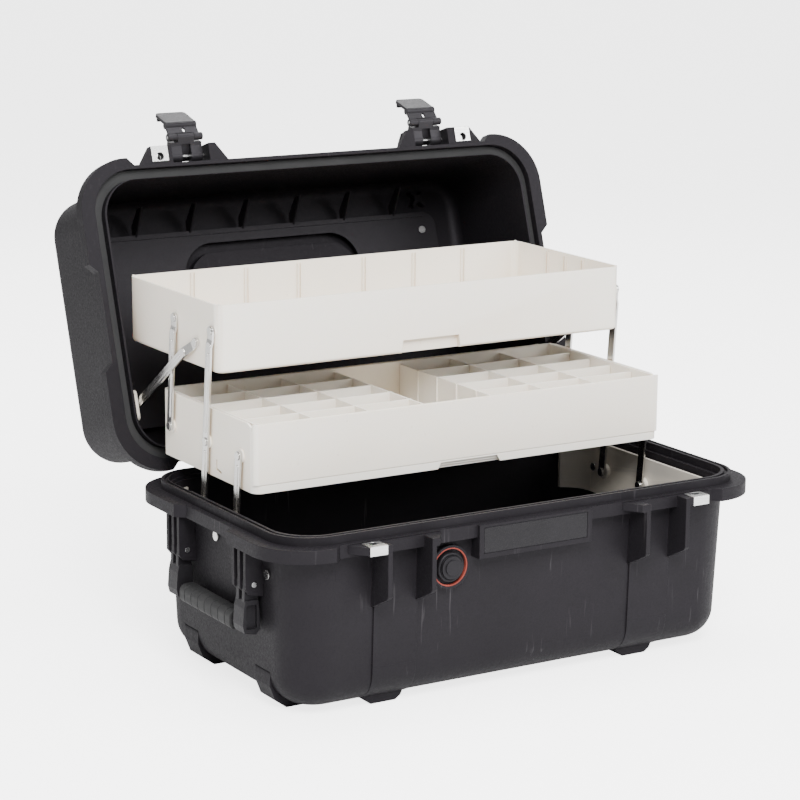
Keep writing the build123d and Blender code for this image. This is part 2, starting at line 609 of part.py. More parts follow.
with BuildPart() as top_tray:
    with BuildSketch(Plane.XY.offset(TOP_Z0)):
        with Locations((0, TOP_YC)):
            RectangleRounded(2 * TRAY_X, TRAY_D, TRAY_R)
    extrude(amount=TRAY_H)
    fillet(top_tray.faces().sort_by(Axis.Z)[0].edges(), 3.5)
    with BuildSketch(Plane.XY.offset(TOP_Z0 + 2.4)):
        with Locations((0, TOP_YC)):
            RectangleRounded(2 * (TRAY_X - TRAY_WALL), TRAY_D - 2 * TRAY_WALL, TRAY_R - TRAY_WALL)
    extrude(amount=TRAY_H, mode=Mode.SUBTRACT)
    # pairs of slot ribs on the front and back walls
    for x0 in COLS:
        for yw, d in ((TOP_YC + TRAY_D / 2 - TRAY_WALL - 0.65, 1), (TOP_YC - TRAY_D / 2 + TRAY_WALL + 0.65, -1)):
            for dx in (-1.9, 1.9):
                with BuildSketch(Plane.XY.offset(TOP_Z0 + 2.4)):
                    with Locations((x0 + dx, yw)):
                        Rectangle(1.2, 1.5)
                extrude(amount=TRAY_H - 5)
    for y0 in (TOP_YC - 31, TOP_YC, TOP_YC + 31):
        for sx in (-1, 1):
            for dy in (-1.9, 1.9):
                with BuildSketch(Plane.XY.offset(TOP_Z0 + 2.4)):
                    with Locations((sx * (TRAY_X - TRAY_WALL - 0.65), y0 + dy)):
                        Rectangle(1.5, 1.2)
                extrude(amount=TRAY_H - 5)
    # finger notch in the lower front edge, with its own walls inside the tray
    TY0 = TOP_YC - TRAY_D / 2
    with BuildSketch(xz(TY0 + 0.5)):
        with Locations((NOTCH_X, TOP_Z0 + 7.8)):
            Rectangle(2 * NOTCH_HALF + 5, 14.6)
    extrude(amount=-6.7)
    with BuildSketch(xz(TY0 - 1)):
        Polygon((NOTCH_X - NOTCH_HALF - 2, TOP_Z0 - 1), (NOTCH_X - NOTCH_HALF, TOP_Z0 + 12.6),
                (NOTCH_X + NOTCH_HALF, TOP_Z0 + 12.6), (NOTCH_X + NOTCH_HALF + 2, TOP_Z0 - 1), align=None)
    extrude(amount=-6.2, mode=Mode.SUBTRACT)
    # corner nubs on the rim
    for sx in (-1, 1):
        for sy in (-1, 1):
            with BuildSketch(Plane.XY.offset(TOP_Z0 + TRAY_H)):
                with Locations((sx * (TRAY_X - 3.4), TOP_YC + sy * (TRAY_D / 2 - 3.4))):
                    Circle(1.3)
            extrude(amount=0.9)
    for sx in (-1, 1):
        with BuildSketch(yz(sx * TOP_BOSS_IN if sx > 0 else -TRAY_X - 0.2)):
            with Locations(LONG_TOP, REAR_TOP, LIDLINK_TRAY):
                Circle(6.0)
        extrude(amount=TRAY_X + 0.2 - TOP_BOSS_IN)
        with BuildSketch(yz(sx * (TOP_BOSS_IN + 1.2) if sx > 0 else -TOP_BOSS_IN - 1.2 - 12)):
            with Locations(LONG_TOP, REAR_TOP, LIDLINK_TRAY):
                Circle(PIN_R)
        extrude(amount=12, mode=Mode.SUBTRACT)
save(top_tray, "top_tray")

MY0, MY1 = MID_YC - TRAY_D / 2, MID_YC + TRAY_D / 2
with BuildPart() as middle_tray_carrier:
    tray_box(MID_Z0, TRAY_H, TRAY_X, TRAY_D / 2, MID_YC, TRAY_R, TRAY_WALL, 2.2)
    # front wall cut away above a low lip, so that the insert's panel shows from end to end
    with BuildSketch(yz(-TRAY_X - 5)):
        Polygon((MY0 - 1, MID_Z0 + 7.4), (MY0 + 5, MID_Z0 + 7.4), (MY0 + 5, MID_Z0 + TRAY_H - 9), (MY0 + 7.6, MID_Z0 + TRAY_H - 2.6),
                (MY0 + 14, MID_Z0 + TRAY_H), (MY0 + 14, MID_Z0 + TRAY_H + 1), (MY0 - 1, MID_Z0 + TRAY_H + 1), align=None)
    extrude(amount=2 * TRAY_X + 10, mode=Mode.SUBTRACT)
    with BuildSketch(xz(MY0 - 1)):
        Polygon((NOTCH_X - NOTCH_HALF - 4, MID_Z0 - 1), (NOTCH_X - NOTCH_HALF, MID_Z0 + 5.8),
                (NOTCH_X + NOTCH_HALF, MID_Z0 + 5.8), (NOTCH_X + NOTCH_HALF + 4, MID_Z0 - 1), align=None)
    extrude(amount=-5.5, mode=Mode.SUBTRACT)
    # spacing bosses and an L-shaped slot on each end panel
    for sx in (-1, 1):
        for p in (LONG_MID, FRONT_MID, REAR_MID):
            with BuildSketch(yz(sx * TRAY_X if sx > 0 else -224.7)):
                with Locations(p):
                    Circle(6.5)
            extrude(amount=224.7 - TRAY_X)
        with BuildSketch(yz(sx * 220 - 6)):
            with Locations(LONG_MID, FRONT_MID, REAR_MID):
                Circle(PIN_R)
        extrude(amount=12, mode=Mode.SUBTRACT)
        with BuildSketch(yz(sx * 220 - 4)):
            Polygon((47, 200), (44.5, 200), (44.5, 190), (34, 188), (34, 190.2), (42.5, 192), (42.5, 200), align=None)
        extrude(amount=8, mode=Mode.SUBTRACT)
save(middle_tray_carrier, "middle_tray_carrier")

IN_HX = TRAY_X - TRAY_WALL - 1.2
IN_HY = TRAY_D / 2 - TRAY_WALL - 0.5
with BuildPart() as middle_tray_insert:
    tray_box(MID_Z0 + 2.5, TRAY_H - 2.5, IN_HX, IN_HY, MID_YC, TRAY_R - 2.7, 1.8, 1.8)
    # front panel over the whole width, above the carrier's lip
    with BuildSketch(Plane.XY.offset(MID_Z0 + 7.8)):
        with Locations((0, MY0 + 4.6)):
            RectangleRounded(2 * TRAY_X, 9.2, 4.4)
        with Locations((0, MY0 + 4.5 + 5)):
            Rectangle(2 * TRAY_X + 4, 10, mode=Mode.SUBTRACT)
    extrude(amount=TRAY_H - 7.8)
    for sx in (-1, 1):
        for sy in (-1, 1):
            with BuildSketch(Plane.XY.offset(MID_Z0 + TRAY_H)):
                with Locations((sx * (TRAY_X - 5.9), MID_YC + sy * (TRAY_D / 2 - 5.2))):
                    Circle(1.3)
            extrude(amount=0.9)
save(middle_tray_insert, "middle_tray_insert")

# divider blocks: a long wall beside the centre channel, four cross rows and two columns
for sx, side in ((-1, "left"), (1, "right")):
    with BuildPart() as divider_block:
        zb, h = MID_Z0 + 4.5, TRAY_H - 7.5
        y0, y1 = MY0 + 5.2, MY1 - 5.2
        xa, xb = 37.5, IN_HX - 2.2
        with BuildSketch(Plane.XY.offset(zb)):
            with Locations((sx * 37.5, (y0 + y1) / 2)):
                Rectangle(1.6, y1 - y0)
            for xc in (96.5, 155.5):
                with Locations((sx * xc, (y0 + y1) / 2)):
                    Rectangle(1.4, y1 - y0)
            for k in range(1, 5):
                yr = y0 + (y1 - y0) * k / 5
                with Locations((sx * (xa + xb) / 2, yr)):
                    Rectangle(xb - xa, 1.4)
        extrude(amount=h)
        # slot posts on the channel face
        for k in range(1, 5):
            yr = y0 + (y1 - y0) * k / 5
            with BuildSketch(Plane.XY.offset(zb)):
                with Locations((sx * 36.2, yr)):
                    Rectangle(1.2, 2.2)
            extrude(amount=h)
    save(divider_block, "divider_block_" + side)

# ---------------------------------------------------------------- lid shell (closed frame, placed open)
LZF = LZ0 + LID_FLANGE_T
with BuildPart() as lid_shell:
    with BuildSketch(xy(LZF - 2, LID)):
        RectangleRounded(2 * BODY_TOP_X, 2 * BODY_TOP_Y, 42)
    with BuildSketch(xy(LID_TOP, LID)):
        RectangleRounded(2 * LID_TOP_X, 2 * LID_TOP_Y, 38)
    loft()
    top_face = lid_shell.faces().sort_by(Axis((0, 0, 0), xy(0, LID).z_dir))[-1]
    fillet(top_face.edges(), LID_EDGE_R)
    with BuildSketch(xy(LZ0, LID)):
        flange_outline()
    extrude(amount=LID_FLANGE_T)
    # fins that carry the latch arms
    for sgn in (-1, 1):
        for k in (-1, 1):
            x0 = sgn * LATCH_X + k * FIN_IN
            with BuildSketch(yz(x0 if k > 0 else x0 - FIN_T, LID)):
                Polygon((-130, LZ0 + 1), (-FIN_Y, LZ0 + 1), (-FIN_Y, 181), (-153, 190), (-130, 197), align=None)
            extrude(amount=FIN_T)
    for x0, out, flat in EAR_SIDES:
        ear(x0, out, flat, LZ0 + 1, LZ0 + 8, LID)
    # stacking ribs on the top, in line with the base feet
    for sgn in (-1, 1):
        with BuildSketch(xy(LID_TOP - 1, LID)):
            with Locations((sgn * LATCH_X, 0)):
                Rectangle(46, 190)
        extrude(amount=3.5)
    # hinge knuckle
    for sgn in (-1, 1):
        with BuildSketch(yz(sgn * HINGE_X - 20.5, LID)):
            with Locations((HY, HZ)):
                Circle(7.5)
            Polygon((140, LZ0 + 0.5), (HY - 2, HZ + 0.5), (HY + 7.3, HZ + 0.5), (HY + 4, 171), (140, 174), align=None)
        extrude(amount=41)
    # ---- cuts
    with BuildSketch(xy(LZ0 - 2, LID)):
        RectangleRounded(2 * OPEN_X + 0.2, 2 * OPEN_Y + 0.2, OPEN_R)
    with BuildSketch(xy(LID_TOP - WALL, LID)):
        RectangleRounded(2 * (LID_TOP_X - WALL), 2 * (LID_TOP_Y - WALL), 33)
    lid_cavity = loft(mode=Mode.PRIVATE)
    with BuildPart(mode=Mode.PRIVATE) as lcav:
        add(lid_cavity)
        fillet(lcav.faces().sort_by(Axis((0, 0, 0), xy(0, LID).z_dir))[-1].edges(), LID_EDGE_R - 4)
    add(lcav.part, mode=Mode.SUBTRACT)
    # cross-shaped bosses near the front corners of the top
    with BuildSketch(xy(LID_TOP - WALL - 9, LID)):
        for bx in (-187, 187):
            with Locations((bx, -109)):
                Circle(4.5)
            with Locations(Location((bx, -109, 0), (0, 0, 45)), Location((bx, -109, 0), (0, 0, -45))):
                Rectangle(21, 3)
    extrude(amount=10)
    # pocket for the top handle: bulges inside, recessed outside
    with BuildSketch(xy(284.6, LID)):
        with Locations((0, -14)):
            RectangleRounded(196, 112, 30)
    extrude(amount=12)
    with BuildSketch(xy(289.1, LID)):
        with Locations((0, -14)):
            RectangleRounded(187, 103, 26)
    extrude(amount=20, mode=Mode.SUBTRACT)
    # cheeks that carry the top handle
    for sgn in (-1, 1):
        for dx in (64.5, 83.5):
            with BuildSketch(yz(sgn * dx - 2.5, LID)):
                with Locations((22, 297)):
                    Circle(6.5)
                Polygon((12, 288), (34, 288), (28.4, 298), (15.6, 298), align=None)
            extrude(amount=5)
    # groove for the seal and the tongue
    with BuildSketch(xy(LZ0, LID)):
        RectangleRounded(2 * (LIP_X + 0.8), 2 * (LIP_Y + 0.8), 42.8)
        RectangleRounded(2 * (LIP_X - LIP_W - 0.8), 2 * (LIP_Y - LIP_W - 0.8), 37.2, mode=Mode.SUBTRACT)
    extrude(amount=11, mode=Mode.SUBTRACT)
    with BuildSketch(xy(LZ0 - 2, LID)):
        with Locations(*PADLOCK):
            Circle(4)
    extrude(amount=14, mode=Mode.SUBTRACT)
    for px, py in PADLOCK:
        with BuildSketch(xy(LZ0 - 1, LID)):
            with Locations((px, -FIN_Y)):
                Rectangle(CLIP_W + 0.2, 1.8)
        extrude(amount=11, mode=Mode.SUBTRACT)
    with BuildSketch(yz(-200, LID)):
        with Locations((HY, HZ)):
            Circle(2.6)
    extrude(amount=400, mode=Mode.SUBTRACT)
    with BuildSketch(yz(-200, LID)):
        with Locations(P1):
            Circle(2.0)
    extrude(amount=400, mode=Mode.SUBTRACT)
    for sgn in (-1, 1):
        with BuildSketch(yz(sgn * 74 - 13, LID)):
            with Locations((22, 297)):
                Circle(2.5)
        extrude(amount=26, mode=Mode.SUBTRACT)
save(lid_shell, "lid_shell")

with BuildPart() as lid_gasket:
    with BuildSketch(xy(LZ0 + 8.1, LID)):
        RectangleRounded(2 * (LIP_X + 0.7), 2 * (LIP_Y + 0.7), 42.7)
        RectangleRounded(2 * (LIP_X - LIP_W - 0.7), 2 * (LIP_Y - LIP_W - 0.7), 37.3, mode=Mode.SUBTRACT)
    extrude(amount=2.9)
save(lid_gasket, "lid_gasket")

with BuildPart() as lid_padlock_clips:
    for px, py in PADLOCK:
        clip(px, -FIN_Y, LZ0 + 1, LZ0 + 8, LID)
save(lid_padlock_clips, "lid_padlock_clips")

# organiser panel inside the lid, with pocket ribs along its front edge
with BuildPart() as lid_organizer:
    with BuildSketch(xy(285.6, LID)):
        with Locations((0, 4)):
            RectangleRounded(406, 196, 16)
        with Locations((0, -17)):
            RectangleRounded(206, 126, 34, mode=Mode.SUBTRACT)
    extrude(amount=2.6)
    with BuildSketch(xy(284.9, LID)):
        with Locations((0, -91.5)):
            Rectangle(380, 5)
    extrude(amount=3.2)
    for x0 in (-152, -91, -30, 30, 91, 152):
        with BuildSketch(yz(x0 - 0.9, LID)):
            Polygon((-91, 285.6), (-91, 292), (-104, 291), (-119, 272), (-119, 262), align=None)
        extrude(amount=1.8)
    with BuildSketch(xy(288.1, LID)):
        for px in (-185, 185):
            for py in (-75, 85):
                with Locations((px, py)):
                    Circle(5)
    extrude(amount=LID_TOP - WALL - 288.1)
    with BuildSketch(xy(284, LID)):
        for px in (-185, 185):
            for py in (-75, 85):
                with Locations((px, py)):
                    Circle(2.0)
    extrude(amount=12, mode=Mode.SUBTRACT)
save(lid_organizer, "lid_organizer")

with BuildPart() as lid_organizer_screws:
    for px in (-185, 185):
        for py in (-75, 85):
            with BuildSketch(xy(284.4, LID)):
                with Locations((px, py)):
                    Circle(4)
            extrude(amount=1.2)
            with BuildSketch(xy(285.5, LID)):
                with Locations((px, py)):
                    Circle(2.0)
            extrude(amount=8.0)
save(lid_organizer_screws, "lid_organizer_screws")

for sx, side in ((-1, "left"), (1, "right")):
    with BuildPart() as lid_tab:
        with BuildSketch(yz(231.4 if sx > 0 else -234.4, LID)):
            with Locations((86, 177)):
                RectangleRounded(30, 19, 5)
        extrude(amount=3)
        for dy in (-9, 9):
            with BuildSketch(yz(234 if sx > 0 else -236.3, LID)):
                with Locations((86 + dy, 178)):
                    Circle(3.2)
            extrude(amount=2.3)
    save(lid_tab, "lid_link_tab_" + side)

# ---------------------------------------------------------------- latches
web_l = ((NOSE[0] - P2[0]) ** 2 + (NOSE[1] - P2[1]) ** 2) ** 0.5
WEB_D = ((NOSE[0] - P2[0]) / web_l, (NOSE[1] - P2[1]) / web_l)    # from the pin to the hook
WEB_N = (-WEB_D[1], WEB_D[0])
WEB_HALF = 1.2
for sgn, side in ((-1, "left"), (1, "right")):
    xc = sgn * LATCH_X
    with BuildPart() as latch_arm:
        with BuildSketch(yz(xc - 17, ARM)):
            with Locations(P1):
                Circle(6.3)
            Polygon((-158.8, 177), (-159.3, 166), (-158.9, 162.6), (-151.6, 162.6), (-151.2, 166), (-147.2, 174), (-146.3, 177), align=None)
        extrude(amount=34)
        # middle knuckle round the lever pin
        with BuildSketch(yz(xc - 8.8, ARM)):
            with Locations(P2):
                Circle(BAR_R)
            Polygon((P2[0] - BAR_R, P2[1]), (-159.3, 164), (-151.7, 164), (P2[0] + BAR_R, P2[1]), align=None)
        extrude(amount=17.6)
        # channel down the inner side
        with BuildSketch(xz(-145.5, ARM)):
            with Locations((xc, 174.2)):
                Rectangle(10, 20)
        extrude(amount=9.3, mode=Mode.SUBTRACT)
        with BuildSketch(yz(xc - 20, ARM)):
            with Locations(P1):
                Circle(2.0)
            with Locations(P2):
                Circle(1.6)
        extrude(amount=40, mode=Mode.SUBTRACT)
    save(latch_arm, "latch_arm_" + side)
    with BuildPart() as latch_arm_pin:
        with BuildSketch(yz(xc - FIN_IN - FIN_T, LID)):
            with Locations(P1):
                Circle(1.95)
        extrude(amount=2 * (FIN_IN + FIN_T))
    save(latch_arm_pin, "latch_arm_pin_" + side)
    with BuildPart() as latch_lever:
        # web from the lever pin to the hook roll
        with BuildSketch(yz(xc - 16.5, LEVER)):
            Polygon(*[(p[0] + k * WEB_N[0] * WEB_HALF, p[1] + k * WEB_N[1] * WEB_HALF)
                      for p, k in ((P2, 1), (NOSE, 1), (NOSE, -1), (P2, -1))], align=None)
        extrude(amount=33)
        with BuildSketch(yz(xc - 9.2, LEVER)):
            with Locations(P2):
                Circle(BAR_R + 0.5)
        extrude(amount=18.4, mode=Mode.SUBTRACT)
        # outer rolls round the pin
        for xa in (xc - 18.5, xc + 9.2):
            with BuildSketch(yz(xa, LEVER)):
                with Locations(P2):
                    Circle(BAR_R)
            extrude(amount=9.3)
        # hook roll that catches under the strike
        with BuildSketch(yz(xc - 16.5, LEVER)):
            with Locations(NOSE):
                Circle(NOSE_R)
        extrude(amount=33)
        # pull plate with a lip at its end
        with BuildSketch(xz(NOSE[0] + 0.2, LEVER)):
            with Locations((xc, 134.3)):
                RectangleRounded(32.6, 27.4, 4.2)
        extrude(amount=-3)
        with BuildSketch(yz(xc - 14, LEVER)):
            Polygon((-145.2, 120.9), (-145.2, 123.6), (-147.4, 124.8), (-151.8, 126), (-152.4, 123.2), (-148.2, 120.9), align=None)
        extrude(amount=28)
        # slot through the web
        with BuildSketch(Plane(LEVER * Plane(origin=(xc + 1.5, P2[0] + WEB_D[0] * 7.7, P2[1] + WEB_D[1] * 7.7),
                                             x_dir=(1, 0, 0), z_dir=(0, WEB_N[0], WEB_N[1])).location)):
            RectangleRounded(3.4, 5.2, 1.6)
        extrude(amount=3.5, both=True, mode=Mode.SUBTRACT)
        with BuildSketch(yz(xc - 20, LEVER)):
            with Locations(P2):
                Circle(1.6)
        extrude(amount=40, mode=Mode.SUBTRACT)
    save(latch_lever, "latch_lever_" + side)
    with BuildPart() as latch_lever_pin:
        with BuildSketch(yz(xc - 18.9, ARM)):
            with Locations(P2):
                Circle(1.55)
        extrude(amount=37.8)
    save(latch_lever_pin, "latch_lever_pin_" + side)

# ---------------------------------------------------------------- end handles
for sx, side in ((-1, "left"), (1, "right")):
    with BuildPart() as handle_frame:
        for sy in (-1, 1):
            # two webs of each arm ride in the slots between the ribs
            for y0 in (57.2, 67.95):
                ya = sy * (y0 + 2.5) - 2.5
                with BuildSketch(xz(ya)):
                    with Locations((sx * SH_X, SH_Z)):
                        Circle(6.8)
                    Polygon((sx * (SH_X - 6.6), SH_Z), (sx * (SH_X + 6.6), SH_Z), (sx * (SH_X + 7.2), 100),
                            (sx * (SH_X + 6.2), 96), (sx * (SH_X - 6), 96), align=None)
                extrude(amount=-5.0)
            ya = sy * 65.2 - 9.4
            with BuildSketch(xz(ya)):
                Polygon((sx * (SH_X - 5.8), 101), (sx * (SH_X + 6.8), 101), (sx * (SH_X + 8.4), 94),
                        (sx * (SH_X + 9.6), 78), (sx * (SH_X + 8.0), 71.5), (sx * (SH_X - 3.6), 69), (sx * (SH_X - 7.4), 74), (sx * (SH_X - 6.8), 94), align=None)
            extrude(amount=-18.8)
            # hollow pocket in the outer side of the arm
            with BuildSketch(xz(sy * 74.7 - (0 if sy < 0 else 3.5))):
                with Locations((sx * (SH_X + 0.8), 85.5)):
                    RectangleRounded(10.5, 22, 1.5)
            extrude(amount=-3.5, mode=Mode.SUBTRACT)
        # cross bar
        with BuildSketch(xz(-60)):
            with BuildLine():
                Polyline((sx * (SH_X - 4), 70.8), (sx * (SH_X + 7.0), 72), (sx * (SH_X + 7.6), 78), (sx * (SH_X + 4.8), 82.5), (sx * (SH_X - 4), 81.5), (sx * (SH_X - 4), 70.8))
            make_face()
        extrude(amount=-120)
        with BuildSketch(xz(-79)):
            with Locations((sx * SH_X, SH_Z)):
                Circle(2.6)
        extrude(amount=-158, mode=Mode.SUBTRACT)
        with BuildSketch(xz(-49.6)):
            with Locations((sx * (SH_X + 0.6), 76.4)):
                RectangleRounded(19, 17.6, 6)
        extrude(amount=-99.2, mode=Mode.SUBTRACT)
        with BuildSketch(xz(-52)):
            with Locations((sx * (SH_X + 0.6), 76.4)):
                RectangleRounded(8, 6.5, 2)
        extrude(amount=-104)
    save(handle_frame, "side_handle_frame_" + side)
    with BuildPart() as handle_grip:
        with BuildSketch(xz(-49.3)):
            with Locations((sx * (SH_X + 0.6), 76.8)):
                RectangleRounded(18.6, 17.6, 6.5)
        extrude(amount=-98.6)
        for k in range(-3, 4):
            with BuildSketch(xz(k * 13.2 - 0.6)):
                with Locations((sx * (SH_X + 0.6), 76.8)):
                    RectangleRounded(22, 21, 7)
                    RectangleRounded(17.4, 16.4, 5.9, mode=Mode.SUBTRACT)
            extrude(amount=-1.2, mode=Mode.SUBTRACT)
        with BuildSketch(xz(-55)):
            with Locations((sx * (SH_X + 0.6), 76.4)):
                RectangleRounded(8, 6.5, 2)
        extrude(amount=-110, mode=Mode.SUBTRACT)
    save(handle_grip, "side_handle_grip_" + side)
    with BuildPart() as handle_pins:
        for sy in (-1, 1):
            with BuildSketch(xz(sy * 65 - 13.2)):
                with Locations((sx * SH_X, SH_Z)):
                    Circle(2.45)
            extrude(amount=-26.4)
    save(handle_pins, "side_handle_pins_" + side)

# ---------------------------------------------------------------- top handle (folded flat in its pocket)
TH_Y, TH_Z = 22.0, 297.0
with BuildPart() as top_handle_frame:
    for sgn in (-1, 1):
        with BuildSketch(xy(291.0, LID)):
            with Locations((sgn * 74, -12)):
                Rectangle(12.6, 62)
        extrude(amount=11)
        with BuildSketch(yz(sgn * 74 - 6.3, LID)):
            with Locations((TH_Y, TH_Z)):
                Circle(6.6)
            Polygon((0, 291), (TH_Y, 290.4), (TH_Y, 303.6), (0, 302), align=None)
        extrude(amount=12.6)
    with BuildSketch(xy(291.0, LID)):
        with Locations((0, -42)):
            RectangleRounded(160.6, 15, 5)
    extrude(amount=12)
    with BuildSketch(xy(290.0, LID)):
        with Locations((0, -42)):
            Rectangle(112, 20)
    extrude(amount=20, mode=Mode.SUBTRACT)
    with BuildSketch(yz(-57, LID)):
        with Locations((-42, 297)):
            RectangleRounded(8, 6, 2)
    extrude(amount=114)
    with BuildSketch(yz(-82, LID)):
        with Locations((TH_Y, TH_Z)):
            Circle(2.6)
    extrude(amount=164, mode=Mode.SUBTRACT)
save(top_handle_frame, "top_handle_frame")
with BuildPart() as top_handle_grip:
    with BuildSketch(yz(-55.7, LID)):
        with Locations((-42, 298)):
            RectangleRounded(19, 15, 6)
    extrude(amount=111.4)
    for k in range(-3, 4):
        with BuildSketch(yz(k * 14.5 - 0.6, LID)):
            with Locations((-42, 298)):
                RectangleRounded(24, 20, 7)
                RectangleRounded(17.8, 13.8, 5.4, mode=Mode.SUBTRACT)
        extrude(amount=1.2, mode=Mode.SUBTRACT)
    with BuildSketch(yz(-60, LID)):
        with Locations((-42, 297)):
            RectangleRounded(8, 6, 2)
    extrude(amount=120, mode=Mode.SUBTRACT)
save(top_handle_grip, "top_handle_grip")
with BuildPart() as top_handle_pins:
    for sgn in (-1, 1):
        with BuildSketch(yz(sgn * 74 - 12, LID)):
            with Locations((TH_Y, TH_Z)):
                Circle(2.45)
        extrude(amount=24)
save(top_handle_pins, "top_handle_pins")
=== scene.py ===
import math

import bmesh
import bpy
from mathutils import Matrix, Vector

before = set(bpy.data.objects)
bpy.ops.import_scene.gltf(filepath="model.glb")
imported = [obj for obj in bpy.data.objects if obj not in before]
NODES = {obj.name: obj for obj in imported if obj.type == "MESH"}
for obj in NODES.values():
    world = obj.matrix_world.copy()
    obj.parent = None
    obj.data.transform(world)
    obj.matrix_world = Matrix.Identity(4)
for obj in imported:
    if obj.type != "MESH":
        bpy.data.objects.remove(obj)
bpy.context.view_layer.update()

# ------------------------------------------------------------------ shared places, in metres
HY, HZ = 0.158, 0.158
LID_OPEN = math.radians(108.0)
LATCH_X = 0.1382


def lid_matrix():
    """Closed lid coordinates to where the lid stands open."""
    return (Matrix.Translation((0, HY, HZ)) @ Matrix.Rotation(-LID_OPEN, 4, "X")
            @ Matrix.Translation((0, -HY, -HZ)))


LID = lid_matrix()

# ------------------------------------------------------------------ camera at the photographed angle
AZ, EL, ROLL = math.radians(-31.23326), math.radians(12.49817), math.radians(0.39134)
back = Vector((math.sin(AZ) * math.cos(EL), -math.cos(AZ) * math.cos(EL), math.sin(EL)))
right = Vector((0, 0, 1)).cross(back).normalized()
up = back.cross(right)
r2 = right * math.cos(ROLL) + up * math.sin(ROLL)
u2 = up * math.cos(ROLL) - right * math.sin(ROLL)
cam_data = bpy.data.cameras.new("camera")
cam_data.sensor_width = 36.0
cam_data.lens = 2623.569 / 800 * 36.0
cam_data.clip_start = 0.05
cam_data.clip_end = 60
cam = bpy.data.objects.new("camera", cam_data)
bpy.context.scene.collection.objects.link(cam)
cam.matrix_world = Matrix((
    (r2.x, u2.x, back.x, -1.28717),
    (r2.y, u2.y, back.y, -2.03344),
    (r2.z, u2.z, back.z, 0.77284),
    (0, 0, 0, 1)))
bpy.context.scene.camera = cam


# ------------------------------------------------------------------ material helpers
def material(name):
    m = bpy.data.materials.new(name)
    m.use_nodes = True
    nt = m.node_tree
    bsdf = next(n for n in nt.nodes if n.type == "BSDF_PRINCIPLED")
    return m, nt, bsdf


def node(nt, kind, **values):
    n = nt.nodes.new(kind)
    for k, v in values.items():
        if k in n.inputs:
            n.inputs[k].default_value = v
        else:
            setattr(n, k, v)
    return n


def coords(nt, scale=(1, 1, 1), rot=(0, 0, 0)):
    tc = nt.nodes.new("ShaderNodeTexCoord")
    mp = nt.nodes.new("ShaderNodeMapping")
    mp.inputs["Scale"].default_value = scale
    mp.inputs["Rotation"].default_value = rot
    nt.links.new(tc.outputs["Object"], mp.inputs["Vector"])
    return mp.outputs["Vector"]


def noise(nt, vec, scale, detail=3.0, rough=0.5, distortion=0.0):
    n = nt.nodes.new("ShaderNodeTexNoise")
    n.inputs["Scale"].default_value = scale
    n.inputs["Detail"].default_value = detail
    n.inputs["Roughness"].default_value = rough
    n.inputs["Distortion"].default_value = distortion
    nt.links.new(vec, n.inputs["Vector"])
    return n.outputs["Fac"]


def ramp(nt, fac, stops):
    r = nt.nodes.new("ShaderNodeValToRGB")
    while len(r.color_ramp.elements) > 1:
        r.color_ramp.elements.remove(r.color_ramp.elements[-1])
    r.color_ramp.elements[0].position = stops[0][0]
    r.color_ramp.elements[0].color = (*stops[0][1], 1)
    for p, c in stops[1:]:
        e = r.color_ramp.elements.new(p)
        e.color = (*c, 1)
    nt.links.new(fac, r.inputs["Fac"])
    return r.outputs["Color"]


def span(nt, fac, lo, hi, to_lo, to_hi):
    r = nt.nodes.new("ShaderNodeMapRange")
    r.inputs["From Min"].default_value = lo
    r.inputs["From Max"].default_value = hi
    r.inputs["To Min"].default_value = to_lo
    r.inputs["To Max"].default_value = to_hi
    nt.links.new(fac, r.inputs["Value"])
    return r.outputs["Result"]


def mix(nt, fac, a, b, blend="MIX"):
    m = nt.nodes.new("ShaderNodeMix")
    m.data_type = "RGBA"
    m.blend_type = blend
    if isinstance(fac, float):
        m.inputs[0].default_value = fac
    else:
        nt.links.new(fac, m.inputs[0])
    for i, v in ((6, a), (7, b)):
        if isinstance(v, tuple):
            m.inputs[i].default_value = (*v, 1)
        else:
            nt.links.new(v, m.inputs[i])
    return m.outputs[2]


def math_node(nt, op, a, b=None):
    m = nt.nodes.new("ShaderNodeMath")
    m.operation = op
    for i, v in ((0, a), (1, b)):
        if v is None:
            continue
        if isinstance(v, (int, float)):
            m.inputs[i].default_value = v
        else:
            nt.links.new(v, m.inputs[i])
    return m.outputs[0]


def bump(nt, bsdf, height, strength, distance=0.001, edge=0.0):
    b = nt.nodes.new("ShaderNodeBump")
    b.inputs["Strength"].default_value = strength
    b.inputs["Distance"].default_value = distance
    nt.links.new(height, b.inputs["Height"])
    if edge:
        e = nt.nodes.new("ShaderNodeBevel")
        e.samples = 4
        e.inputs["Radius"].default_value = edge
        nt.links.new(e.outputs["Normal"], b.inputs["Normal"])
    nt.links.new(b.outputs["Normal"], bsdf.inputs["Normal"])


def edge_wear_and_highlight(nt, scale=1.0):
    """0 on flats, 1 on sharp outward edges."""
    g = nt.nodes.new("ShaderNodeNewGeometry")
    return span(nt, g.outputs["Pointiness"], 0.505, 0.56, 0.0, scale)


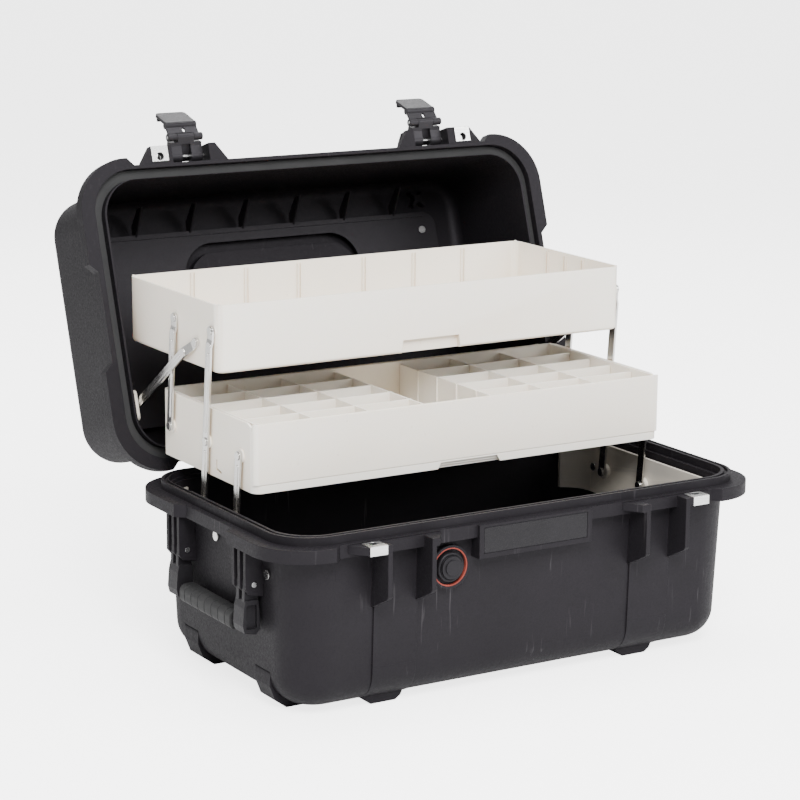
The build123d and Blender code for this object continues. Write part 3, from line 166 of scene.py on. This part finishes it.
# ------------------------------------------------------------------ materials
def grained_black(name, base, light, grain=2600.0, rough=(0.46, 0.62), strength=0.35, edge=0.0008, scuffs=0.0, specular=0.2):
    m, nt, b = material(name)
    v = coords(nt)
    fine = noise(nt, v, grain, 2.0, 0.6)
    mid = noise(nt, v, 420.0, 3.0, 0.55)
    broad = noise(nt, v, 9.0, 4.0, 0.55)
    col = ramp(nt, broad, [(0.3, base), (0.7, light)])
    col = mix(nt, span(nt, fine, 0.45, 0.75, 0.0, 0.35), col, tuple(min(1.0, c * 2.2) for c in light))
    if scuffs:
        sv = coords(nt, (260.0, 260.0, 16.0))
        streak = noise(nt, sv, 1.0, 2.0, 0.6, 0.2)
        patch = noise(nt, v, 14.0, 2.0, 0.5)
        s = math_node(nt, "MULTIPLY", span(nt, streak, 0.62, 0.75, 0.0, 1.0), span(nt, patch, 0.5, 0.62, 0.0, scuffs))
        col = mix(nt, s, col, (0.060, 0.056, 0.060))
    nt.links.new(col, b.inputs["Base Color"])
    nt.links.new(span(nt, mid, 0.3, 0.7, rough[0], rough[1]), b.inputs["Roughness"])
    h = math_node(nt, "ADD", math_node(nt, "MULTIPLY", fine, 0.7), math_node(nt, "MULTIPLY", mid, 0.6))
    bump(nt, b, h, strength, 0.0004, edge)
    b.inputs["Specular IOR Level"].default_value = specular
    b.inputs["Specular Tint"].default_value = (0.96, 0.92, 1.0, 1.0)
    return m


M_SHELL = grained_black("shell_black", (0.0066, 0.0058, 0.0070), (0.0098, 0.0087, 0.0103), scuffs=0.7, specular=0.17)
M_LID = grained_black("lid_black", (0.0060, 0.0053, 0.0064), (0.0090, 0.0080, 0.0094), scuffs=0.25, specular=0.16)
M_TRIM = grained_black("trim_black", (0.0072, 0.0068, 0.0078), (0.0108, 0.0102, 0.0114), 3200.0, (0.38, 0.52), 0.22, 0.0006)
M_LATCH = grained_black("latch_black", (0.0088, 0.0082, 0.0094), (0.0140, 0.0132, 0.0146), 3000.0, (0.33, 0.46), 0.2, 0.0007, specular=0.3)
M_PANEL = grained_black("panel_black", (0.0088, 0.0080, 0.0092), (0.0130, 0.0120, 0.0135), 2400.0, (0.42, 0.58), 0.25, 0.0007)


def ivory():
    m, nt, b = material("tray_ivory")
    v = coords(nt)
    broad = noise(nt, v, 5.0, 3.0, 0.5)
    flow = noise(nt, coords(nt, (6.0, 6.0, 30.0)), 1.0, 3.0, 0.55, 0.4)
    fine = noise(nt, v, 900.0, 2.0, 0.5)
    col = ramp(nt, broad, [(0.3, (0.855, 0.790, 0.690)), (0.7, (0.895, 0.840, 0.750))])
    col = mix(nt, span(nt, flow, 0.35, 0.7, 0.0, 0.25), col, (0.835, 0.765, 0.655))
    # faint specks, plus a painted highlight that lightens the sharp edges
    speck = span(nt, noise(nt, v, 260.0, 1.0, 0.5), 0.73, 0.78, 0.0, 0.25)
    col = mix(nt, speck, col, (0.55, 0.45, 0.33))
    # painted shade: corners and cell floors are darkened to a warm tan wherever ambient occlusion finds them enclosed
    ao = nt.nodes.new("ShaderNodeAmbientOcclusion")
    ao.samples = 6
    ao.inputs["Distance"].default_value = 0.035
    painted_shade_fac = span(nt, ao.outputs["AO"], 0.15, 0.75, 0.75, 0.0)
    col = mix(nt, painted_shade_fac, col, (0.62, 0.47, 0.31))
    # painted highlight: sharp outward edges lightened towards near-white
    col = mix(nt, edge_wear_and_highlight(nt, 0.45), col, (0.95, 0.92, 0.86))
    nt.links.new(col, b.inputs["Base Color"])
    nt.links.new(span(nt, flow, 0.3, 0.7, 0.34, 0.46), b.inputs["Roughness"])
    b.inputs["Subsurface Weight"].default_value = 0.12
    b.inputs["Subsurface Radius"].default_value = (1.0, 0.6, 0.35)
    b.inputs["Subsurface Scale"].default_value = 0.003
    bump(nt, b, fine, 0.10, 0.0003, 0.0006)
    return m


def cream_paint():
    m, nt, b = material("bracket_cream")
    v = coords(nt)
    orange = noise(nt, v, 700.0, 2.0, 0.5)
    broad = noise(nt, v, 12.0, 3.0, 0.5)
    col = ramp(nt, broad, [(0.3, (0.60, 0.55, 0.47)), (0.7, (0.68, 0.63, 0.55))])
    col = mix(nt, edge_wear_and_highlight(nt, 0.6), col, (0.36, 0.34, 0.31))
    nt.links.new(col, b.inputs["Base Color"])
    nt.links.new(span(nt, broad, 0.3, 0.7, 0.36, 0.46), b.inputs["Roughness"])
    bump(nt, b, orange, 0.15, 0.0004, 0.0005)
    return m


def stainless(name="stainless_steel", stretch=(900.0, 900.0, 26.0), base=(0.74, 0.73, 0.71), rough=(0.15, 0.28)):
    m, nt, b = material(name)
    v = coords(nt, stretch)
    lines = noise(nt, v, 1.0, 2.0, 0.6)
    blot = noise(nt, coords(nt), 60.0, 3.0, 0.5)
    col = mix(nt, span(nt, lines, 0.35, 0.7, 0.0, 0.5), base, tuple(c * 0.78 for c in base))
    col = mix(nt, span(nt, blot, 0.55, 0.8, 0.0, 0.25), col, tuple(c * 0.7 for c in base))
    nt.links.new(col, b.inputs["Base Color"])
    b.inputs["Metallic"].default_value = 1.0
    nt.links.new(span(nt, math_node(nt, "ADD", lines, math_node(nt, "MULTIPLY", blot, 0.3)), 0.4, 0.9, rough[0], rough[1]), b.inputs["Roughness"])
    bump(nt, b, lines, 0.06, 0.0002, 0.0005)
    return m


def rubber(name, base, light):
    m, nt, b = material(name)
    v = coords(nt)
    fine = noise(nt, v, 1800.0, 2.0, 0.6)
    dust = noise(nt, v, 40.0, 4.0, 0.6)
    col = mix(nt, span(nt, dust, 0.45, 0.8, 0.0, 0.5), base, light)
    nt.links.new(col, b.inputs["Base Color"])
    nt.links.new(span(nt, dust, 0.3, 0.7, 0.62, 0.78), b.inputs["Roughness"])
    bump(nt, b, fine, 0.3, 0.0004, 0.0006)
    return m


def plate_pebble():
    """Bare raised panel with a coarse pebbled skin."""
    m, nt, b = material("plate_pebble")
    v = coords(nt)
    vor = nt.nodes.new("ShaderNodeTexVoronoi")
    vor.inputs["Scale"].default_value = 620.0
    nt.links.new(v, vor.inputs["Vector"])
    broad = noise(nt, v, 30.0, 3.0, 0.6)
    col = ramp(nt, broad, [(0.3, (0.0085, 0.0078, 0.0092)), (0.7, (0.0140, 0.0130, 0.0150))])
    col = mix(nt, span(nt, vor.outputs["Distance"], 0.1, 0.5, 0.4, 0.0), col, (0.022, 0.021, 0.023))
    nt.links.new(col, b.inputs["Base Color"])
    nt.links.new(span(nt, broad, 0.3, 0.7, 0.42, 0.6), b.inputs["Roughness"])
    bump(nt, b, vor.outputs["Distance"], 0.6, 0.0006)
    b.inputs["Specular IOR Level"].default_value = 0.2
    return m


M_TRAY = ivory()
M_CREAM = cream_paint()
M_STEEL = stainless()
M_CLIP = stainless("clip_steel", (60.0, 700.0, 700.0), (0.86, 0.86, 0.855), (0.22, 0.36))
M_PIN = stainless("pin_steel", (40.0, 900.0, 900.0), (0.50, 0.50, 0.50), (0.22, 0.36))
M_SEAL = rubber("seal_rubber", (0.009, 0.009, 0.0095), (0.016, 0.016, 0.017))
M_GRIP = rubber("grip_rubber", (0.010, 0.010, 0.0105), (0.022, 0.021, 0.022))
M_RED = rubber("red_rubber", (0.20, 0.024, 0.014), (0.27, 0.055, 0.035))
M_PLATE = plate_pebble()


def paint(obj, mat, smooth=40.0):
    obj.data.materials.clear()
    obj.data.materials.append(mat)


def choose(n):
    if n == "front_plate":
        return M_PLATE
    if n == "valve_ring":
        return M_RED
    if n == "lid_gasket":
        return M_SEAL
    if "grip" in n:
        return M_GRIP
    if "clips" in n:
        return M_CLIP
    if "rivet" in n or n.startswith(("long_link", "front_link", "rear_link", "lid_link_left", "lid_link_right")):
        return M_STEEL
    if "pin" in n or "screw" in n:
        return M_PIN
    if n.startswith(("middle_tray", "top_tray", "divider")):
        return M_TRAY
    if "bracket" in n or "tab" in n:
        return M_CREAM
    if n.startswith("latch"):
        return M_LATCH
    if n == "lid_organizer":
        return M_PANEL
    if n == "lid_shell":
        return M_LID
    if n.startswith("base_"):
        return M_SHELL
    return M_TRIM


for n, o in NODES.items():
    paint(o, choose(n))

# ------------------------------------------------------------------ floor, light
def floor_material():
    m, nt, b = material("studio_floor")
    v = coords(nt)
    soft = noise(nt, v, 1.2, 2.0, 0.5)
    nt.links.new(ramp(nt, soft, [(0.3, (0.90, 0.90, 0.90)), (0.7, (0.93, 0.93, 0.93))]), b.inputs["Base Color"])
    b.inputs["Roughness"].default_value = 0.75
    # the sweep reads white to the camera and adds no light from below
    b.inputs["Emission Color"].default_value = (1, 1, 1, 1)
    lp = nt.nodes.new("ShaderNodeLightPath")
    nt.links.new(math_node(nt, "MULTIPLY", lp.outputs["Is Camera Ray"], 3.2), b.inputs["Emission Strength"])
    return m


bm = bmesh.new()
bmesh.ops.create_grid(bm, x_segments=2, y_segments=2, size=14)
me = bpy.data.meshes.new("studio_floor")
bm.to_mesh(me)
bm.free()
floor = bpy.data.objects.new("studio_floor", me)
bpy.context.scene.collection.objects.link(floor)
floor.data.materials.append(floor_material())

world = bpy.data.worlds.new("studio")
bpy.context.scene.world = world
world.use_nodes = True
bg = world.node_tree.nodes["Background"]
bg.inputs["Color"].default_value = (1, 1, 1, 1)
bg.inputs["Strength"].default_value = 0.72


def area(name, at, target, size, power, spread=160.0):
    d = bpy.data.lights.new(name, "AREA")
    d.shape = "RECTANGLE"
    d.size, d.size_y = size
    d.energy = power
    d.spread = math.radians(spread)
    o = bpy.data.objects.new(name, d)
    bpy.context.scene.collection.objects.link(o)
    o.location = at
    o.rotation_mode = "QUATERNION"
    o.rotation_quaternion = (Vector(target) - Vector(at)).to_track_quat("-Z", "Y")
    return o


area("key", (-0.9, -2.1, 2.3), (0, 0, 0.2), (1.4, 1.4), 135)
area("fill", (1.9, -1.7, 1.4), (0, 0, 0.2), (1.6, 1.2), 30)
area("top", (0.1, 0.2, 2.6), (0, 0.1, 0.2), (2.2, 1.6), 48)
area("rim", (0.8, 2.2, 1.6), (0, 0.1, 0.3), (1.8, 1.0), 18)
